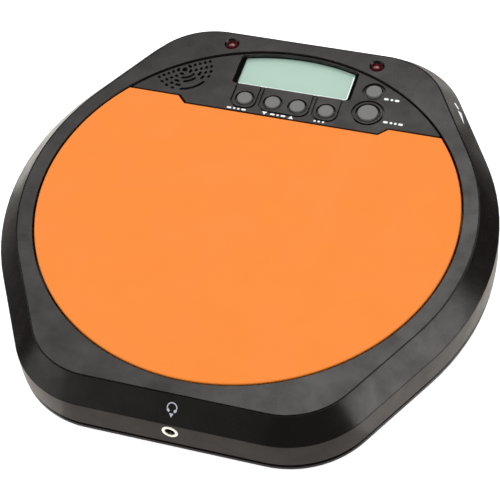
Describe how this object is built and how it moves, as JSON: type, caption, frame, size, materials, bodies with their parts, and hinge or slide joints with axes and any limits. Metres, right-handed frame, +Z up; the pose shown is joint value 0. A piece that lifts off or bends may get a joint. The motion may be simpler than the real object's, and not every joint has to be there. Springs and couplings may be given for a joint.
{
  "type": "practice pad",
  "caption": "Low six-sided electronic drum practice pad with a round rubber playing surface, a rear control panel with display, buttons and speaker grille, and a battery door underneath.",
  "frame": {"origin": "on the surface the pad stands on, under the centre of the round playing surface", "axes": "+Z up out of the playing surface, +Y towards the control panel at the rear, +X to the player's right"},
  "size_m": [0.2386, 0.2392, 0.031],
  "materials": {
    "case_plastic": "semi-gloss black plastic with a fine grain",
    "panel_plastic": "satin dark grey plastic",
    "pad_rubber": "orange rubber",
    "foot_rubber": "black rubber",
    "key_rubber": "grey silicone",
    "foam": "closed-cell foam",
    "red_lens": "deep red tinted lens",
    "window_acrylic": "clear acrylic",
    "display_glass": "pale green display",
    "board": "green solder mask",
    "steel": "zinc plated steel",
    "nickel": "nickel plate",
    "brass": "bare brass",
    "paper_cone": "black pressed paper",
    "switch_plastic": "black moulded plastic",
    "cell_wrap": "plain printed sleeve",
    "wire": "PVC insulation"
  },
  "bodies": {
    "case": {"upper_case": "case_plastic", "lower_case": "case_plastic", "drum_pad": "pad_rubber", "pad_backing_plate": "steel", "pad_foam": "foam", "piezo_sensor": "brass", "control_panel": "panel_plastic", "lcd_window": "window_acrylic", "lcd_panel": "display_glass", "main_board": "board", "speaker_frame": "steel", "speaker_cone": "paper_cone", "speaker_magnet": "steel", "speaker_gasket": "foam", "led_left": "red_lens", "led_right": "red_lens", "headphone_jack_body": "nickel", "headphone_jack_nut": "nickel", "volume_potentiometer": "switch_plastic", "battery_contact_positive": "nickel", "battery_contact_negative": "nickel", "battery_link_right": "nickel", "battery_link_left_front": "nickel", "battery_link_left_rear": "nickel", "rhythm_switch": "switch_plastic", "tempo_down_switch": "switch_plastic", "tempo_up_switch": "switch_plastic", "beat_switch": "switch_plastic", "mode_switch": "switch_plastic", "power_switch": "switch_plastic", "foot_rear_right": "foot_rubber", "foot_rear_left": "foot_rubber", "foot_front_right": "foot_rubber", "foot_front_left": "foot_rubber", "case_screw_1": "steel", "case_screw_2": "steel", "case_screw_3": "steel", "case_screw_4": "steel", "case_screw_5": "steel", "case_screw_6": "steel", "board_screw_1": "steel", "board_screw_2": "steel", "battery_cell_1": "cell_wrap", "battery_cell_2": "cell_wrap", "battery_cell_3": "cell_wrap", "battery_cell_4": "cell_wrap", "piezo_lead": "wire", "battery_lead": "wire", "speaker_lead": "wire", "headphone_lead": "wire", "volume_lead": "wire"},
    "rhythm_button": {"rhythm_button": "key_rubber"},
    "tempo_down_button": {"tempo_down_button": "key_rubber"},
    "tempo_up_button": {"tempo_up_button": "key_rubber"},
    "beat_button": {"beat_button": "key_rubber"},
    "mode_button": {"mode_button": "key_rubber"},
    "power_button": {"power_button": "key_rubber"},
    "volume_wheel": {"volume_wheel": "case_plastic"},
    "battery_door": {"battery_door": "case_plastic"}
  },
  "joints": [
    {"name": "rhythm_press", "type": "slide", "parent": "case", "child": "rhythm_button", "axis": [0, 0, -1], "range_m": [0, 0.0008], "stiffness_N_per_m": 1500},
    {"name": "tempo_down_press", "type": "slide", "parent": "case", "child": "tempo_down_button", "axis": [0, 0, -1], "range_m": [0, 0.0008], "stiffness_N_per_m": 1500},
    {"name": "tempo_up_press", "type": "slide", "parent": "case", "child": "tempo_up_button", "axis": [0, 0, -1], "range_m": [0, 0.0008], "stiffness_N_per_m": 1500},
    {"name": "beat_press", "type": "slide", "parent": "case", "child": "beat_button", "axis": [0, 0, -1], "range_m": [0, 0.0008], "stiffness_N_per_m": 1500},
    {"name": "mode_press", "type": "slide", "parent": "case", "child": "mode_button", "axis": [0, 0, -1], "range_m": [0, 0.0008], "stiffness_N_per_m": 1500},
    {"name": "power_press", "type": "slide", "parent": "case", "child": "power_button", "axis": [0, 0, -1], "range_m": [0, 0.0008], "stiffness_N_per_m": 1500},
    {"name": "volume_turn", "type": "hinge", "parent": "case", "child": "volume_wheel", "pos_m": [0.0829, 0.08251, 0.0142], "axis": [0, 0, 1], "range_deg": [-135, 135]},
    {"name": "battery_door_hinge", "type": "hinge", "parent": "case", "child": "battery_door", "pos_m": [0, 0.0038, 0.0031], "axis": [1, 0, 0], "range_deg": [0, 65]}
  ]
}
